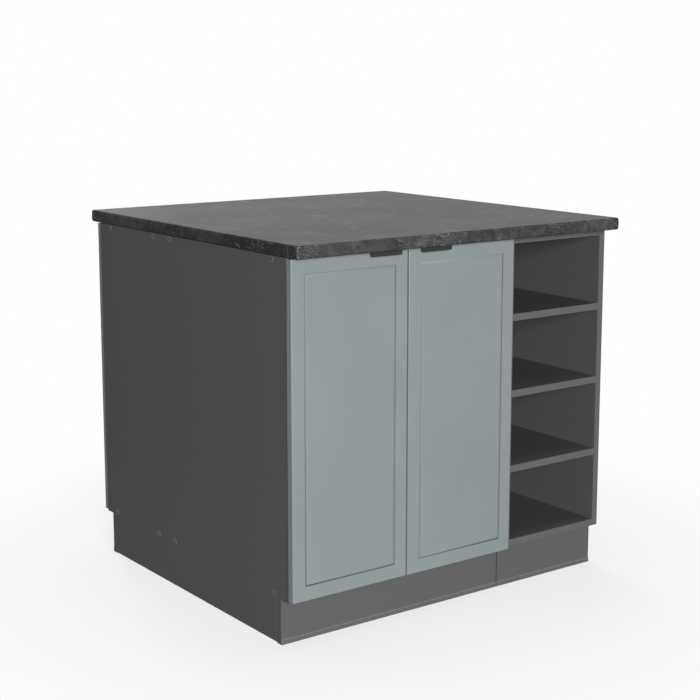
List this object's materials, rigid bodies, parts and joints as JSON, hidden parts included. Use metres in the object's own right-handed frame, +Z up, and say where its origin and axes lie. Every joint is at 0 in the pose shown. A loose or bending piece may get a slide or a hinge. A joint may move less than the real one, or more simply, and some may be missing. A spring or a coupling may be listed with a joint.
{
  "type": "kitchen island unit",
  "caption": "Double-sided kitchen island: floor cabinets with framed doors on both long sides, an open shelf unit at one end, plinths and one overhanging worktop.",
  "frame": {"origin": "centre of the footprint, on the floor", "axes": "+Z up; the row with two doors and open shelves faces -Y; +X runs along the worktop, to the right as seen from that front"},
  "size_m": [0.904, 0.89, 0.848],
  "materials": {
    "worktop": "chipboard with a matt dark slate-look laminate",
    "carcass": "graphite melamine-faced chipboard with matching edging",
    "door": "routed MDF wrapped in a matt grey-green film",
    "back": "thin hardboard, painted dark grey",
    "pull": "black anodised extrusion",
    "hinge": "nickel-plated pressed steel",
    "fastener": "zinc-plated steel",
    "glide": "grey plastic"
  },
  "bodies": {
    "island": {"worktop": "worktop", "front_left_side": "carcass", "front_right_side": "carcass", "front_bottom": "carcass", "front_fore_rail": "carcass", "front_aft_rail": "carcass", "front_back_panel": "back", "front_shelf": "carcass", "open_left_side": "carcass", "open_right_side": "carcass", "open_bottom": "carcass", "open_top": "carcass", "open_low_shelf": "carcass", "open_mid_shelf": "carcass", "open_high_shelf": "carcass", "open_back_panel": "back", "rear_left_side": "carcass", "rear_right_side": "carcass", "rear_bottom": "carcass", "rear_fore_rail": "carcass", "rear_aft_rail": "carcass", "rear_back_panel": "back", "rear_shelf": "carcass", "single_left_side": "carcass", "single_right_side": "carcass", "single_bottom": "carcass", "single_fore_rail": "carcass", "single_aft_rail": "carcass", "single_back_panel": "back", "single_shelf": "carcass", "front_plinth": "carcass", "open_plinth": "carcass", "rear_plinth": "carcass", "single_plinth": "carcass", "hinge_arms": "hinge", "mounting_plates": "hinge", "connecting_screws": "fastener", "joining_screws": "fastener", "shelf_pins": "fastener", "glides": "glide"},
    "front_left_door": {"front_left_door": "door", "front_left_pull": "pull", "front_left_cups": "hinge"},
    "front_right_door": {"front_right_door": "door", "front_right_pull": "pull", "front_right_cups": "hinge"},
    "rear_left_door": {"rear_left_door": "door", "rear_left_pull": "pull", "rear_left_cups": "hinge"},
    "rear_right_door": {"rear_right_door": "door", "rear_right_pull": "pull", "rear_right_cups": "hinge"},
    "single_door": {"single_door": "door", "single_pull": "pull", "single_cups": "hinge"},
    "front_left_hinge_links": {"front_left_links": "hinge"},
    "front_right_hinge_links": {"front_right_links": "hinge"},
    "rear_left_hinge_links": {"rear_left_links": "hinge"},
    "rear_right_hinge_links": {"rear_right_links": "hinge"},
    "single_hinge_links": {"single_links": "hinge"}
  },
  "joints": [
    {"name": "front_left_link_turn", "type": "hinge", "parent": "island", "child": "front_left_hinge_links", "pos_m": [-0.42, -0.398, 0.46], "axis": [0, 0, 1], "range_deg": [0, 26]},
    {"name": "front_left_door_turn", "type": "hinge", "parent": "front_left_hinge_links", "child": "front_left_door", "pos_m": [-0.439, -0.4075, 0.46], "axis": [0, 0, -1], "range_deg": [0, 130]},
    {"name": "front_right_link_turn", "type": "hinge", "parent": "island", "child": "front_right_hinge_links", "pos_m": [0.12, -0.398, 0.46], "axis": [0, 0, -1], "range_deg": [0, 26]},
    {"name": "front_right_door_turn", "type": "hinge", "parent": "front_right_hinge_links", "child": "front_right_door", "pos_m": [0.139, -0.4075, 0.46], "axis": [0, 0, 1], "range_deg": [0, 130]},
    {"name": "rear_left_link_turn", "type": "hinge", "parent": "island", "child": "rear_left_hinge_links", "pos_m": [0.42, 0.398, 0.46], "axis": [0, 0, 1], "range_deg": [0, 26]},
    {"name": "rear_left_door_turn", "type": "hinge", "parent": "rear_left_hinge_links", "child": "rear_left_door", "pos_m": [0.439, 0.4075, 0.46], "axis": [0, 0, -1], "range_deg": [0, 130]},
    {"name": "rear_right_link_turn", "type": "hinge", "parent": "island", "child": "rear_right_hinge_links", "pos_m": [-0.12, 0.398, 0.46], "axis": [0, 0, -1], "range_deg": [0, 26]},
    {"name": "rear_right_door_turn", "type": "hinge", "parent": "rear_right_hinge_links", "child": "rear_right_door", "pos_m": [-0.139, 0.4075, 0.46], "axis": [0, 0, 1], "range_deg": [0, 130]},
    {"name": "single_link_turn", "type": "hinge", "parent": "island", "child": "single_hinge_links", "pos_m": [-0.42, 0.398, 0.46], "axis": [0, 0, -1], "range_deg": [0, 26]},
    {"name": "single_door_turn", "type": "hinge", "parent": "single_hinge_links", "child": "single_door", "pos_m": [-0.439, 0.4075, 0.46], "axis": [0, 0, 1], "range_deg": [0, 130]}
  ],
  "couplings": [
    {"joint": "front_left_link_turn", "follows": "front_left_door_turn", "ratio": 0.2},
    {"joint": "front_right_link_turn", "follows": "front_right_door_turn", "ratio": 0.2},
    {"joint": "rear_left_link_turn", "follows": "rear_left_door_turn", "ratio": 0.2},
    {"joint": "rear_right_link_turn", "follows": "rear_right_door_turn", "ratio": 0.2},
    {"joint": "single_link_turn", "follows": "single_door_turn", "ratio": 0.2}
  ]
}
